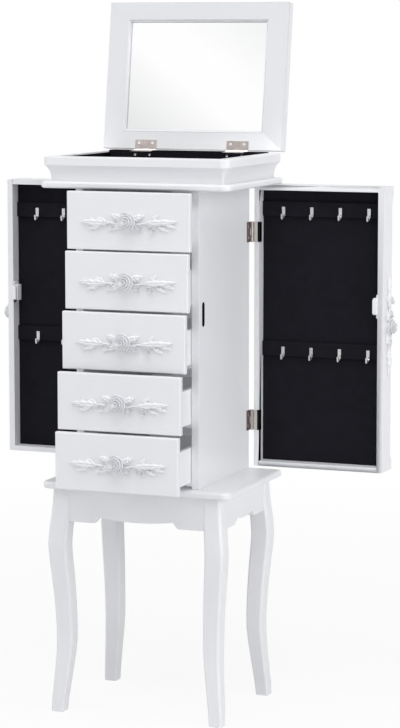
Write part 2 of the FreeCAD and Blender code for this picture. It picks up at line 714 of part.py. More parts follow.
# Thick outer panel whose head and foot flare out in an S-curve
panel = new_body("door_panel")
outer_x = tray_x + s.panel_thickness
flare_x = outer_x + s.panel_flare
turn_x = outer_x + s.panel_flare / 2
swell = s.panel_flare / 6
foot_land = door_low + s.flare_land
foot_turn = foot_land + s.flare_height / 2
foot_end = foot_land + s.flare_height
head_land = door_high - s.flare_land
head_turn = head_land - s.flare_height / 2
head_end = head_land - s.flare_height
panel_pad = pad(panel, draw(sketch_on(panel, "XZ_Plane", -door_rear), [
    (tray_x, door_low), (flare_x, door_low), (flare_x, foot_land), (turn_x, foot_turn, swell),
    (outer_x, foot_end, -swell), (outer_x, head_end), (turn_x, head_turn, -swell), (flare_x, head_land, swell),
    (flare_x, door_high), (tray_x, door_high),
]), s.door_length)


def panel_edge(edge):
    box = edge.BoundBox
    end_edge = box.YMax < float(door_front) + SAME_PLACE and box.XMax > float(tray_x) + SAME_PLACE
    corner_edge = box.XMin > float(flare_x) - SAME_PLACE and box.YLength > float(s.panel_bevel)
    return end_edge and box.XMin > float(tray_x) + SAME_PLACE or corner_edge and not end_edge


bevel(panel, panel_pad, s.panel_bevel, panel_edge)
door_piece("panel", panel)

door_piece("lining", block("door_felt", (tray_x - s.felt, stile_front, rail_low), (tray_x, stile_rear, rail_high)))

# Two felt bars, each with a row of hooks. The two doors have theirs at different heights.
felt_x = tray_x - s.felt
bar_x = felt_x - s.hook_bar_thickness
right_rows = (door_high - s.hook_row_top, door_high - s.hook_row_middle)
left_rows = (door_high - s.left_row_top, door_high - s.left_row_middle)


def hook_bars(name, heights):
    half = s.hook_bar_height / 2
    return group(name, [block(f"{name}_{number}", (bar_x, stile_front, height - half), (felt_x, stile_rear, height + half))
                        for number, height in enumerate(heights)])


door_piece("hook_bars", hook_bars("hook_bars", right_rows), hook_bars("hook_bars_left", left_rows))

hook = new_body("hook_strip")
hook_face = bar_x - s.hook_plate_thickness - s.hook_strip / 2
hook_back = hook_face + s.hook_strip
inner_x = hook_face - 2 * s.hook_bend
outer_hook_x = inner_x - s.hook_strip
stem_top = s.hook_plate_height / 2
stem_end = stem_top - s.hook_stem
outer_bend = s.hook_bend + s.hook_strip
inner_turn = [(hook_face - 2 * s.hook_bend * along, stem_end - s.hook_bend * drop) for along, drop in BEND_SHARES]
outer_turn = [(outer_hook_x + 2 * outer_bend * along, stem_end - outer_bend * drop) for along, drop in BEND_SHARES]
pad(hook, draw(sketch_on(hook, "XZ_Plane", -s.hook_strip / 2), [
    (hook_back, stem_top), (hook_face, stem_top), (hook_face, stem_end), *inner_turn, (inner_x, stem_end),
    (inner_x, stem_end + s.hook_tip), (outer_hook_x, stem_end + s.hook_tip), (outer_hook_x, stem_end), *outer_turn,
    (hook_back, stem_end),
]), s.hook_strip)
hook_plate = block("hook_plate", (bar_x - s.hook_plate_thickness, -s.hook_plate, -s.hook_plate_height / 2),
                   (bar_x, s.hook_plate, s.hook_plate_height / 2))


def hook_rows(name, first, heights):
    hooks = []
    for height in heights:
        for number in range(HOOK_COUNT):
            away = door_rear - first - number * s.hook_pitch
            joined = fuse(f"{name}_joined_{len(hooks) + 1}", [hook, hook_plate])
            hooks.append(place(group(f"{name}_{len(hooks) + 1}", [joined]), 0, away, height))
    return group(name, hooks)


# Both doors carry the same strips, so the left door's hooks are not mirrored along their bars
door_piece("hooks", hook_rows("hooks", s.hook_first, right_rows), hook_rows("hooks_left", s.left_hook_first, left_rows))

# Catch beside the front stile: a flange on the stile, a case on the flange, and a nose on the case that
# reaches into the strike slot when the door is shut
catch_side = stile_front + s.catch_width
nose_low = stile_front + (s.catch_width - s.catch_nose_width) / 2
nose_x = rim_x - s.door_gap - s.catch_nose
door_piece("catch", fuse("catch", [
    block("catch_flange", (rim_x, stile_front, catch_middle - s.catch_flange_height / 2),
          (rim_x + s.catch_depth, stile_front + s.catch_flange, catch_middle + s.catch_flange_height / 2)),
    block("catch_case", (rim_x, stile_front, catch_middle - s.catch_height / 2),
          (rim_x + s.catch_depth, catch_side, catch_middle + s.catch_height / 2)),
    block("catch_nose", (nose_x, nose_low, catch_middle - s.catch_nose_height / 2),
          (rim_x, nose_low + s.catch_nose_width, catch_middle + s.catch_nose_height / 2)),
]))
door_piece("hinge_leaves", group("door_leaves", moving_leaves))

# The same carving stands upright on the front edge of each door
edge_carving = group("edge_carving", [carving])
edge_carving.Placement = Placement(Vector(), Rotation(Vector(0, 1, 0), 90))
edge_middle = (door_low + door_high) / 2 + s.edge_carving_rise
for path_name, length in (("x", (rim_x + outer_x) / 2), ("y", door_front), ("z", edge_middle)):
    bind(edge_carving, "Placement.Base." + path_name, length)
door_piece("carving", edge_carving)

# Lid, built shut in its own frame with the hinge axis on x, then swung open
lid_under = s.lid_gap / 2
lid_join = lid_under + s.lid_frame_thickness
lid_top = lid_join + s.lid_panel_thickness
lid_back = -s.lid_barrel_offset
lid_front = lid_back - (half_depth - crown_front_face)
opening_half = crown_half - s.lid_stile
opening_front = lid_front + s.lid_rail
opening_back = lid_back - s.lid_rail
lid_axis_y = half_depth + s.lid_barrel_offset
lid_axis_z = rim_top + lid_under


def lid_piece(kind, item):
    whole = group("lid_" + kind, [item])
    keep(place(whole, 0, lid_axis_y, lid_axis_z, Vector(-1, 0, 0), s.lid_open_angle), "lid_" + kind)


# A frame bar whose inner edge is bevelled towards the mirror
def lid_bar(name, outline, inner_edge):
    bar = new_body(name)
    bar_pad = pad(bar, draw(sketch_on(bar, "XY_Plane", lid_under), outline), s.lid_frame_thickness)
    bevel(bar, bar_pad, s.lid_bevel, lambda edge: level(edge, lid_under) and inner_edge(edge.CenterOfMass))
    return bar


stile = lid_bar("lid_stile_right", [
    (crown_half, lid_front), (crown_half, lid_back), (opening_half, opening_back), (opening_half, opening_front),
], lambda middle: abs(middle.x - float(opening_half)) < SAME_PLACE)
front_rail = lid_bar("lid_rail_front", [
    (-crown_half, lid_front), (crown_half, lid_front), (opening_half, opening_front),
    (-opening_half, opening_front),
], lambda middle: abs(middle.y - float(opening_front)) < SAME_PLACE)
back_rail = lid_bar("lid_rail_back", [
    (-opening_half, opening_back), (opening_half, opening_back), (crown_half, lid_back), (-crown_half, lid_back),
], lambda middle: abs(middle.y - float(opening_back)) < SAME_PLACE)
lid_piece("frame", group("lid_bars", [stile, mirror("lid_stile_left", stile), front_rail, back_rail]))

lid_board = new_body("lid_board")
lid_board_pad = pad(lid_board, draw(sketch_on(lid_board, "XY_Plane", lid_join), [
    (-crown_half, lid_front), (crown_half, lid_front), (crown_half, lid_back), (-crown_half, lid_back),
]), s.lid_panel_thickness)
bevel(lid_board, lid_board_pad, s.lid_edge_bevel, lambda edge: level(edge, lid_top))
lid_piece("panel", lid_board)
lid_piece("mirror", block("mirror_glass", (-opening_half, opening_front, lid_join - s.mirror_thickness),
                          (opening_half, opening_back, lid_join)))

lid_reach = s.lid_barrel_radius + s.barrel_clearance
fixed, moving = knuckles(s.lid_hinge_offset, s.lid_hinge_width)
low, high = s.lid_hinge_offset - s.lid_hinge_width / 2, s.lid_hinge_offset + s.lid_hinge_width / 2
lid_fixed = hinge_leaf("lid_fixed", along_x, s.lid_barrel_radius, fixed, (low, -lid_under, lid_back - s.lid_leaf),
                       (high, s.lid_leaf_thickness - lid_under, -lid_reach), s.pin_radius)
lid_moving = hinge_leaf("lid_moving", along_x, s.lid_barrel_radius, moving,
                        (low, lid_under - s.lid_leaf_thickness, lid_back - s.lid_leaf),
                        (high, lid_under, -lid_reach), moving_bore)
lid_piece("hinge_leaves", group("lid_leaves", [lid_moving, mirror("lid_moving_left", lid_moving)]))
keep(place(group("lid_hinge_fixed", [lid_fixed, mirror("lid_fixed_left", lid_fixed)]), 0, lid_axis_y, lid_axis_z),
     "lid_hinge_fixed")

lid_pin = hinge_pin("lid_pin", along_x, s.lid_hinge_offset, s.lid_hinge_width)
lid_pins = place(group("lid_pins", [lid_pin, mirror("lid_pin_left", lid_pin)]), 0, lid_axis_y, lid_axis_z)
keep(group("hinge_pins", [pins_right, pins_left, lid_pins]), "hinge_pins")

# Check and write
doc.recompute()
faults = [item.Name for item in doc.Objects if "Invalid" in item.State or "Error" in item.State]
faults += [item.Label for item in pieces if item.Shape.isNull() or not item.Shape.isValid() or not item.Shape.Solids]
if faults:
    raise RuntimeError("faulty pieces: " + ", ".join(faults))
os.makedirs("parts", exist_ok=True)
for item in pieces:
    item.Shape.exportStep(f"parts/{item.Label}.step")
print(len(pieces), "pieces written")
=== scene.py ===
import json
import math
import bpy
from mathutils import Matrix, Vector


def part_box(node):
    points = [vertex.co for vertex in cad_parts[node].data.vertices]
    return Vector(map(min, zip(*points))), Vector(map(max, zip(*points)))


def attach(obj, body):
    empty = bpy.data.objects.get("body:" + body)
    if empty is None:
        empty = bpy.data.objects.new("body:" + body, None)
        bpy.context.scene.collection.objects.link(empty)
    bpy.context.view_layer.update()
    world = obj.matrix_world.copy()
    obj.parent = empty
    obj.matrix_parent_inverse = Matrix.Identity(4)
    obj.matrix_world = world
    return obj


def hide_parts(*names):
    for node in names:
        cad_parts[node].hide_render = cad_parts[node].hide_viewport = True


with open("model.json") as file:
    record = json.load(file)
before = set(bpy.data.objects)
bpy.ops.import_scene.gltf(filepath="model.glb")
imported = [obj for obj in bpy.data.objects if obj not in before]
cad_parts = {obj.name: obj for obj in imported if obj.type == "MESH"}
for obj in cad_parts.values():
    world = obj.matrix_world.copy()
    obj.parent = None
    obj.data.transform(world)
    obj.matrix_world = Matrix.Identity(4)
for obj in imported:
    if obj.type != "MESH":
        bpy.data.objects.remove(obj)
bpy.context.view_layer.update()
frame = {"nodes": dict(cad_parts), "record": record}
nodes = frame["nodes"]
record = frame["record"]
slotOf = {part["node"]: part["material_slot"] for part in record["subparts"]}
bodyOf = {node: body for body, members in record["behaviour"]["bodies"].items() for node in members}
mm = 0.001
drawerNumbers = range(1, 6)
lidLean = 8.5  # degrees that the open lid leans back
print("frame loaded:", len(nodes), "nodes")


# Shader maths: a socket that can be used in Python expressions
class Wire:
    def __init__(self, finish, socket):
        self.finish = finish
        self.socket = socket

    def math(self, operation, first, second):
        return self.finish.add("ShaderNodeMath", {"operation": operation}, {0: first, 1: second})

    def __add__(self, other):
        return self.math("ADD", self, other)

    def __radd__(self, other):
        return self.math("ADD", other, self)

    def __sub__(self, other):
        return self.math("SUBTRACT", self, other)

    def __rsub__(self, other):
        return self.math("SUBTRACT", other, self)

    def __mul__(self, other):
        return self.math("MULTIPLY", self, other)

    def __rmul__(self, other):
        return self.math("MULTIPLY", other, self)

    def __lt__(self, other):
        return self.math("LESS_THAN", self, other)

    def __gt__(self, other):
        return self.math("GREATER_THAN", self, other)


class Finish:
    def __init__(self, tree):
        self.tree = tree
        tree.nodes.clear()

    # one node of any type: its settings first, then the values or links of its sockets
    def add(self, kind, settings, sockets, output=0):
        node = self.tree.nodes.new(kind)
        for key, value in settings.items():
            setattr(node, key, value)
        for key, value in sockets.items():
            if isinstance(value, Wire):
                self.tree.links.new(value.socket, node.inputs[key])
            else:
                node.inputs[key].default_value = value
        return Wire(self, node.outputs[output]) if len(node.outputs) else None

    def place(self, stretch=(1, 1, 1)):
        spot = self.add("ShaderNodeTexCoord", {}, {}, "Object")
        return self.add("ShaderNodeMapping", {}, {"Vector": spot, "Scale": stretch})

    # one coordinate of the place on the piece, in metres
    def axis(self, name):
        return self.add("ShaderNodeSeparateXYZ", {}, {0: self.place()}, name)

    def noise(self, scale, detail=2.0, roughness=0.5, stretch=(1, 1, 1)):
        return self.add("ShaderNodeTexNoise", {}, {
            "Vector": self.place(stretch), "Scale": scale, "Detail": detail, "Roughness": roughness})

    def ramp(self, value, low, high, start=0.0, end=1.0):
        return self.add("ShaderNodeMapRange", {}, {
            "Value": value, "From Min": low, "From Max": high, "To Min": start, "To Max": end}, "Result")

    def blend(self, amount, first, second):
        return self.add("ShaderNodeMix", {"data_type": "RGBA"}, {0: amount, 6: first, 7: second}, 2)

    # 1 inside a box of the piece's own space, given in millimetres, and 0 outside it
    def within(self, low, high):
        mask = 1.0
        for name, start, end in zip("XYZ", low, high):
            value = self.axis(name)
            mask = mask * (value > start * mm) * (value < end * mm)
        return mask

    def bump(self, height, distance, strength):
        sockets = {"Height": height, "Distance": distance, "Strength": strength}
        return self.add("ShaderNodeBump", {}, sockets, "Normal")

    # 1 for rays of the named kinds and 0 for all others
    def rays(self, *kinds):
        return sum((self.add("ShaderNodeLightPath", {}, {}, f"Is {kind} Ray") for kind in kinds), 0.0)


def newFinish(name):
    material = bpy.data.materials.new(name)
    material.use_nodes = True
    return material, Finish(material.node_tree)


def surfaced(material, finish, sockets):
    shader = finish.add("ShaderNodeBsdfPrincipled", {}, sockets, "BSDF")
    finish.add("ShaderNodeOutputMaterial", {}, {"Surface": shader})
    return material


# a base value and how much a pattern adds to it
def varied(pattern, base, spread):
    return base + spread * pattern


# In each look a noise has its scale, detail, roughness and stretch, a relief its depth and strength,
# and a zone two corners of a box in millimetres

# satin lacquer: almost even, with a faint drift of tone and a faint orange peel
# painted light makes the lid's face paler towards its foot and painted shade darkens it towards its head; the
# edge round the mirror has painted shade, with painted light along its top, as photographed;
# the inside of the carcass glows a little, for the light that a white studio sends in round the drawers
paintLook = {
    "tones": ((0.795, 0.805, 0.83, 1), (0.815, 0.822, 0.842, 1)),
    "clouds": (5.0, 2.0), "contrast": (0.3, 0.7), "peel": (260.0, 1.0), "relief": (0.00003, 0.25),
    "rough": (0.36, 0.08), "coat": 0.05, "coatRough": 0.15,
    "lidZone": ((-160, 120, 871.5), (160, 200, 1120)),
    "faceDepth": -0.5, "frameDepth": 7.0,  # behind a plane through the origin that leans as the lid does
    # painted light at the foot of the lid's face, painted shade at its middle and head
    "lidHeights": (875, 930, 1100),
    "lidTones": ((0.855, 0.865, 0.885, 1), (0.775, 0.79, 0.815, 1), (0.695, 0.71, 0.735, 1)),
    # painted shade on the edge round the mirror, painted light along its top
    "reveal": ((-119.3, 100, 899.8), (119.3, 200, 1077)), "revealTone": (0.68, 0.69, 0.715, 1),
    "topReveal": ((-115.9, 100, 1072), (119.3, 200, 1077)), "topTone": (0.93, 0.93, 0.95, 1),
    "indoors": ((-30, -102, 367), (92.6, 114, 822.5)), "dark": (0, 0, 0, 1),
    "glow": (0.95, 0.96, 1.0, 1), "glowStrength": 0.095,
}


def makeWhitePaint():
    look = paintLook
    material, paint = newFinish("whitePaint")
    clouds = paint.ramp(paint.noise(*look["clouds"]), *look["contrast"])
    peel = paint.noise(*look["peel"])
    white = paint.blend(clouds, *look["tones"])
    up = paint.axis("Z")
    depth = paint.axis("Y") - math.tan(math.radians(lidLean)) * up
    lidFace = (depth < look["faceDepth"] * mm) * paint.within(*look["lidZone"])
    lidFrame = depth < look["frameDepth"] * mm
    foot, middle, head = [height * mm for height in look["lidHeights"]]
    footPaintedLight, middlePaintedShade, headPaintedShade = look["lidTones"]
    # painted light towards the foot of the lid's face, painted shade towards its head
    lidLightAndShade = paint.blend(paint.ramp(up, foot, middle), footPaintedLight, middlePaintedShade)
    lidLightAndShade = paint.blend(paint.ramp(up, middle, head), lidLightAndShade, headPaintedShade)
    white = paint.blend(lidFace, white, lidLightAndShade)
    # painted shade on the edge round the mirror, painted light along its top
    white = paint.blend(lidFrame * paint.within(*look["reveal"]), white, look["revealTone"])
    white = paint.blend(lidFrame * paint.within(*look["topReveal"]), white, look["topTone"])
    return surfaced(material, paint, {
        "Base Color": white,
        "Roughness": varied(clouds, *look["rough"]),
        "Normal": paint.bump(peel, *look["relief"]),
        "Coat Weight": look["coat"],
        "Coat Roughness": look["coatRough"],
        "Emission Color": paint.blend(paint.within(*look["indoors"]), look["dark"], look["glow"]),
        "Emission Strength": look["glowStrength"],
    })


feltLook = {
    "tones": ((0.008, 0.0078, 0.0101, 1), (0.0215, 0.0205, 0.0267, 1)),
    "fibre": (1900.0, 4.0, 0.7), "nap": (60.0, 3.0, 0.6), "fibreShare": 0.55, "napShare": 0.45,
    "rough": (0.88, 0.1), "relief": (0.0004, 0.5), "shine": 0.0,
}


def makeBlackFelt():
    look = feltLook
    material, felt = newFinish("blackFelt")
    fibre = felt.noise(*look["fibre"])
    nap = felt.noise(*look["nap"])
    return surfaced(material, felt, {
        "Base Color": felt.blend(look["fibreShare"] * fibre + look["napShare"] * nap, *look["tones"]),
        "Roughness": varied(fibre, *look["rough"]),
        "Normal": felt.bump(fibre, *look["relief"]),
        "Specular IOR Level": look["shine"],
    })


# silvered glass with a painted reflection that greys it towards its lower left and upper right corners, and a
# painted shadow round its edge
glassLook = {
    "silver": ((0.985, 0.985, 0.985, 1), (1.0, 1.0, 1.0, 1)), "haze": (14.0, 4.0, 0.6), "rough": (0.01, 0.02),
    "halfWidth": 116.4, "low": 902.4, "high": 1074.3,
    # painted reflection: greyer towards the lower left and upper right corners
    "lowerLeft": (0.1, 0.85), "lowerLeftTone": (0.8, 0.805, 0.81, 1),
    "upperRight": (1.3, 2.0), "upperRightTone": (0.89, 0.895, 0.9, 1),
    # painted shadow on a band round the edge of the glass
    "clear": ((-115.7, 0, 903.8), (115.7, 400, 1073.8)), "edgeTone": (0.5, 0.5, 0.52, 1),
}


def makeMirrorGlass():
    look = glassLook
    material, glass = newFinish("mirrorGlass")
    haze = glass.noise(*look["haze"])
    across = glass.ramp(glass.axis("X"), -look["halfWidth"] * mm, look["halfWidth"] * mm)
    diagonal = across + glass.ramp(glass.axis("Z"), look["low"] * mm, look["high"] * mm)
    silver = glass.blend(haze, *look["silver"])
    # painted reflection: greyer towards the lower left and upper right corners
    silver = glass.blend(glass.ramp(diagonal, *look["lowerLeft"]), look["lowerLeftTone"], silver)
    silver = glass.blend(glass.ramp(diagonal, *look["upperRight"]), silver, look["upperRightTone"])
    return surfaced(material, glass, {
        # painted shadow round the edge of the glass, silvering inside it
        "Base Color": glass.blend(glass.within(*look["clear"]), look["edgeTone"], silver),
        "Metallic": 1.0,
        "Roughness": varied(haze, *look["rough"]),
    })


# plated hinges: bright on the lid's barrels, a dark painted reflection on the leaves on the carcass, a pale
# painted reflection and a black painted shadow on the door leaves
nickelLook = {
    "tones": ((0.39, 0.345, 0.33, 1), (0.485, 0.435, 0.42, 1)),
    "grain": (900.0, 3.0, 0.6, (1, 1, 0.08)), "clouds": (140.0, 2.0), "contrast": (0.3, 0.7),
    "rough": (0.3, 0.16), "relief": (0.00005, 0.4),
    "lidBarrels": ((-98, 119.4, 868), (98, 124.2, 873.6)), "lidBarrelTone": (0.86, 0.81, 0.79, 1),
    # the leaves on the carcass: a dark painted reflection
    "carcassLeaves": ((-103, 100, 400), (103, 118, 800)),
    "carcassTones": ((0.1, 0.08, 0.075, 1), (0.17, 0.14, 0.13, 1)),
    "doorZones": [  # on the right door, mirrored for the left: a pale painted reflection, then black painted shadow
        {"low": (108.6, 118, 400), "high": (114.1, 121.2, 800), "tone": (0.66, 0.645, 0.6, 1)},
        {"low": (114.1, 118, 400), "high": (119, 132, 800), "tone": (0.015, 0.014, 0.015, 1)},
        {"low": (107.3, 121.2, 400), "high": (119, 132, 800), "tone": (0.015, 0.014, 0.015, 1)},
    ],
}


def makeNickel():
    look = nickelLook
    material, nickel = newFinish("nickelPlate")
    grain = nickel.noise(*look["grain"])
    clouds = nickel.ramp(nickel.noise(*look["clouds"]), *look["contrast"])
    shade = nickel.blend(clouds, *look["tones"])
    shade = nickel.blend(nickel.within(*look["lidBarrels"]), shade, look["lidBarrelTone"])
    # a dark painted reflection on the leaves on the carcass
    carcassDarkReflection = nickel.blend(clouds, *look["carcassTones"])
    shade = nickel.blend(nickel.within(*look["carcassLeaves"]), shade, carcassDarkReflection)
    # painted reflection (pale) and painted shadow (black) on the door leaves
    for zone in look["doorZones"]:
        (near, front, foot), (far, rear, head) = zone["low"], zone["high"]
        for left, right in ((-far, -near), (near, far)):
            covered = nickel.within((left, front, foot), (right, rear, head))
            shade = nickel.blend(covered, shade, zone["tone"])
    return surfaced(material, nickel, {
        "Base Color": shade,
        "Metallic": 1.0,
        "Roughness": varied(grain, *look["rough"]),
        "Normal": nickel.bump(grain, *look["relief"]),
    })


# bright plating: darker on the hooks and most screws, brighter on the screws round the lid's hinges
steelLook = {
    "worn": ((0.5, 0.5, 0.51, 1), (0.65, 0.65, 0.66, 1)), "clouds": (300.0, 3.0), "rough": (0.14, 0.12),
    "polished": ((-200, 90, 855), (200, 140, 900)), "polishedTone": (0.9, 0.9, 0.91, 1),
}


def makeBrightSteel():
    look = steelLook
    material, steel = newFinish("brightSteel")
    clouds = steel.noise(*look["clouds"])
    # darker over the hooks and most screws, brighter on the screws round the lid's hinges
    worn = steel.blend(clouds, *look["worn"])
    return surfaced(material, steel, {
        "Base Color": steel.blend(steel.within(*look["polished"]), worn, look["polishedTone"]),
        "Metallic": 1.0,
        "Roughness": varied(clouds, *look["rough"]),
    })


plasticLook = {
    "tones": ((0.82, 0.82, 0.83, 1), (0.88, 0.88, 0.885, 1)), "grain": (1400.0, 2.0),
    "rough": (0.32, 0.12), "relief": (0.00006, 0.4),
}


def makeWhitePlastic():
    look = plasticLook
    material, plastic = newFinish("whitePlastic")
    grain = plastic.noise(*look["grain"])
    return surfaced(material, plastic, {
        "Base Color": plastic.blend(grain, *look["tones"]),
        "Roughness": varied(grain, *look["rough"]),
        "Normal": plastic.bump(grain, *look["relief"]),
    })


woodLook = {
    "tones": ((0.5, 0.37, 0.22, 1), (0.74, 0.6, 0.41, 1)),
    "grain": (70.0, 5.0, 0.65, (1, 0.06, 1)), "pores": (600.0, 3.0, 0.6, (1, 0.05, 1)),
    "rough": (0.55, 0.2), "relief": (0.0002, 0.5),
}


def makePlainWood():
    look = woodLook
    material, wood = newFinish("plainWood")
    grain = wood.noise(*look["grain"])
    pores = wood.noise(*look["pores"])
    return surfaced(material, wood, {
        "Base Color": wood.blend(grain, *look["tones"]),
        "Roughness": varied(pores, *look["rough"]),
        "Normal": wood.bump(pores, *look["relief"]),
    })


finishes = {
    "white_paint": makeWhitePaint(), "black_felt": makeBlackFelt(), "mirror_glass": makeMirrorGlass(),
    "nickel": makeNickel(), "bright_steel": makeBrightSteel(), "white_plastic": makeWhitePlastic(),
    "plain_wood": makePlainWood(),
}
for name, node in nodes.items():
    node.data.materials.clear()
    node.data.materials.append(finishes[slotOf[name]])
print("finishes made:", len(finishes))

# Modelling helpers
easing = {"segments": 2, "sharp": 28, "smooth": 40}  # angles in degrees
merging = {"distance": 2e-6, "flat": 0.3}  # metres and degrees


def rotation(degrees, axis):
    return Matrix.Rotation(math.radians(degrees), 4, axis)


toFront = rotation(90, "X")  # turns what faces up to face the front


def pickOnly(*pieces):
    if bpy.context.mode != "OBJECT":
        bpy.ops.object.mode_set(mode="OBJECT")
    bpy.ops.object.select_all(action="DESELECT")
    for piece in pieces:
        piece.select_set(True)
    if pieces:
        bpy.context.view_layer.objects.active = pieces[0]


def applied(piece, kind, **settings):
    pickOnly(piece)
    bpy.ops.object.modifier_add(type=kind)
    modifier = piece.modifiers[-1]
    for key, value in settings.items():
        setattr(modifier, key, value)
    bpy.ops.object.modifier_apply(modifier=modifier.name)


def editAll(piece):
    pickOnly(piece)
    bpy.ops.object.mode_set(mode="EDIT")
    bpy.ops.mesh.select_all(action="SELECT")


# moves every point of a piece, as a sculpting stroke does
def sculpt(piece, stroke):
    for point in piece.data.vertices:
        point.co = stroke(point.co)


def clamped(value, low, high):
    return min(max(value, low), high)


def copied(piece, matrix, name="copy"):
    twin = bpy.data.objects.new(name, piece.data.copy())
    bpy.context.scene.collection.objects.link(twin)
    twin.data.transform(matrix)
    if matrix.determinant() < 0:
        twin.data.flip_normals()
    return twin


def joined(pieces, name):
    pickOnly(*pieces)
    if len(pieces) > 1:
        bpy.ops.object.join()
    whole = bpy.context.active_object
    whole.name = name
    return whole


def block(low, high):
    pickOnly()
    low, high = Vector(low) * mm, Vector(high) * mm
    bpy.ops.mesh.primitive_cube_add(size=1, location=(low + high) / 2, scale=high - low)
    bpy.ops.object.transform_apply()
    return bpy.context.active_object


# a line drawn point by point, left in edit mode with all of it selected
def drawnLine(spots):
    pickOnly()
    bpy.ops.mesh.primitive_plane_add(size=mm, location=(0, 0, 0))
    line = bpy.context.active_object
    bpy.ops.object.mode_set(mode="EDIT")
    bpy.ops.mesh.merge(type="CENTER")
    bpy.ops.transform.translate(value=spots[0])
    for start, end in zip(spots, spots[1:]):
        bpy.ops.mesh.extrude_vertices_move(TRANSFORM_OT_translate={"value": end - start})
    bpy.ops.mesh.select_all(action="SELECT")
    return line


def rounded(piece, width, segments=easing["segments"], sharp=easing["sharp"]):
    limit = {"limit_method": "ANGLE", "angle_limit": math.radians(sharp)}
    applied(piece, "BEVEL", width=width * mm, segments=segments, **limit)
    bpy.ops.object.shade_smooth_by_angle(angle=math.radians(easing["smooth"]))
    applied(piece, "WEIGHTED_NORMAL", keep_sharp=True)


def settled(piece, name, body, slot, *stands):
    piece.name = name
    piece.data.materials.clear()
    piece.data.materials.append(finishes[slot])
    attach(piece, body)
    if stands:
        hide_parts(*stands)
    return piece


def camel(name):
    first, *others = name.split("_")
    return first + "".join(word.capitalize() for word in others)


# a copy of a CAD piece with its facets merged into whole faces
def cleanCopy(name, flat=merging["flat"]):
    piece = copied(nodes[name], nodes[name].matrix_world, name + "Copy")
    pickOnly(piece)
    bpy.ops.mesh.customdata_custom_splitnormals_clear()
    editAll(piece)
    bpy.ops.mesh.remove_doubles(threshold=merging["distance"])
    bpy.ops.mesh.dissolve_limited(angle_limit=math.radians(flat))
    bpy.ops.object.mode_set(mode="OBJECT")
    return piece


# Painted boards, felt and metal: the CAD pieces with eased edges, kept inside their CAD boxes
eased = {
    "side_panel_left": 0.8, "side_panel_right": 0.8, "back_panel": 0.4, "drawer_runners": 0.4,
    "corner_blocks": 0.6, "apron_front": 0.8, "apron_rear": 0.8, "apron_left": 0.8, "apron_right": 0.8,
    "base_board": 0.5, "cornice_board": 0.5, "crown_back": 0.8, "lid_frame": 0.6, "lid_panel": 0.8,
    "door_left_frame": 0.7, "door_right_frame": 0.7, "door_left_panel": 0.7, "door_right_panel": 0.7,
    "door_left_catch": 0.7, "door_right_catch": 0.7,
    "tray_lining": 0.7, "door_left_lining": 0.3, "door_right_lining": 0.3,
    "door_left_hook_bars": 1.4, "door_right_hook_bars": 1.4,
    "lid_hinge_fixed": 0.25, "lid_hinge_leaves": 0.25, "door_hinge_fixed": 0.25,
    "door_left_hinge_leaves": 0.25, "door_right_hinge_leaves": 0.25, "hinge_pins": 0.3, "strike_plates": 0.2,
}
for number in drawerNumbers:
    eased[f"drawer_{number}_front"] = 0.7
    eased[f"drawer_{number}_box"] = 0.5
for name, width in eased.items():
    piece = cleanCopy(name)
    rounded(piece, width)
    low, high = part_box(name)
    sculpt(piece, lambda spot: Vector([*map(clamped, spot, low, high)]))
    settled(piece, camel(name) + "Eased", bodyOf[name], slotOf[name], name)
print("eased pieces:", len(eased))

# Mirror: its face stands further forward in the frame than the CAD glass, as the photograph shows it
pane = {"forward": 3.0, "ease": 0.4}
glass = cleanCopy("lid_mirror")
lean = math.radians(lidLean)
facing = Vector((0, -math.cos(lean), math.sin(lean)))
middle = sum((point.co for point in glass.data.vertices), Vector()) / len(glass.data.vertices)
forward = facing * pane["forward"] * mm
sculpt(glass, lambda spot: spot + forward if (spot - middle).dot(facing) > 0 else spot)
rounded(glass, pane["ease"])
settled(glass, "lidMirrorPane", "lid", "mirror_glass", "lid_mirror")
print("mirror made")

# Crown moulding: its three mitred lengths read as one painted run with a rounded top edge
moulding = {
    "names": ["crown_front", "crown_left", "crown_right"], "merge": 0.02, "level": 0.01,
    "side": 142, "front": -104, "round": 4.0, "segments": 4, "ease": 0.5,
}
crown = joined([cleanCopy(name) for name in moulding["names"]], "crown")
editAll(crown)
bpy.ops.mesh.remove_doubles(threshold=moulding["merge"] * mm)
bpy.ops.object.mode_set(mode="OBJECT")
topLevel = max(point.co.z for point in crown.data.vertices) / mm - moulding["level"]
weights = crown.data.attributes.new("bevel_weight_edge", "FLOAT", "EDGE")
for edge in crown.data.edges:
    ends = [crown.data.vertices[index].co / mm for index in edge.vertices]
    outer = all(abs(end.x) > moulding["side"] or end.y < moulding["front"] for end in ends)
    onTop = all(end.z > topLevel for end in ends)
    weights.data[edge.index].value = 1.0 if outer and onTop else 0.0
applied(crown, "BEVEL", width=moulding["round"] * mm, segments=moulding["segments"], limit_method="WEIGHT")
rounded(crown, moulding["ease"])
settled(crown, "crownMoulding", "cabinet", "white_paint", *moulding["names"])
print("crown made")

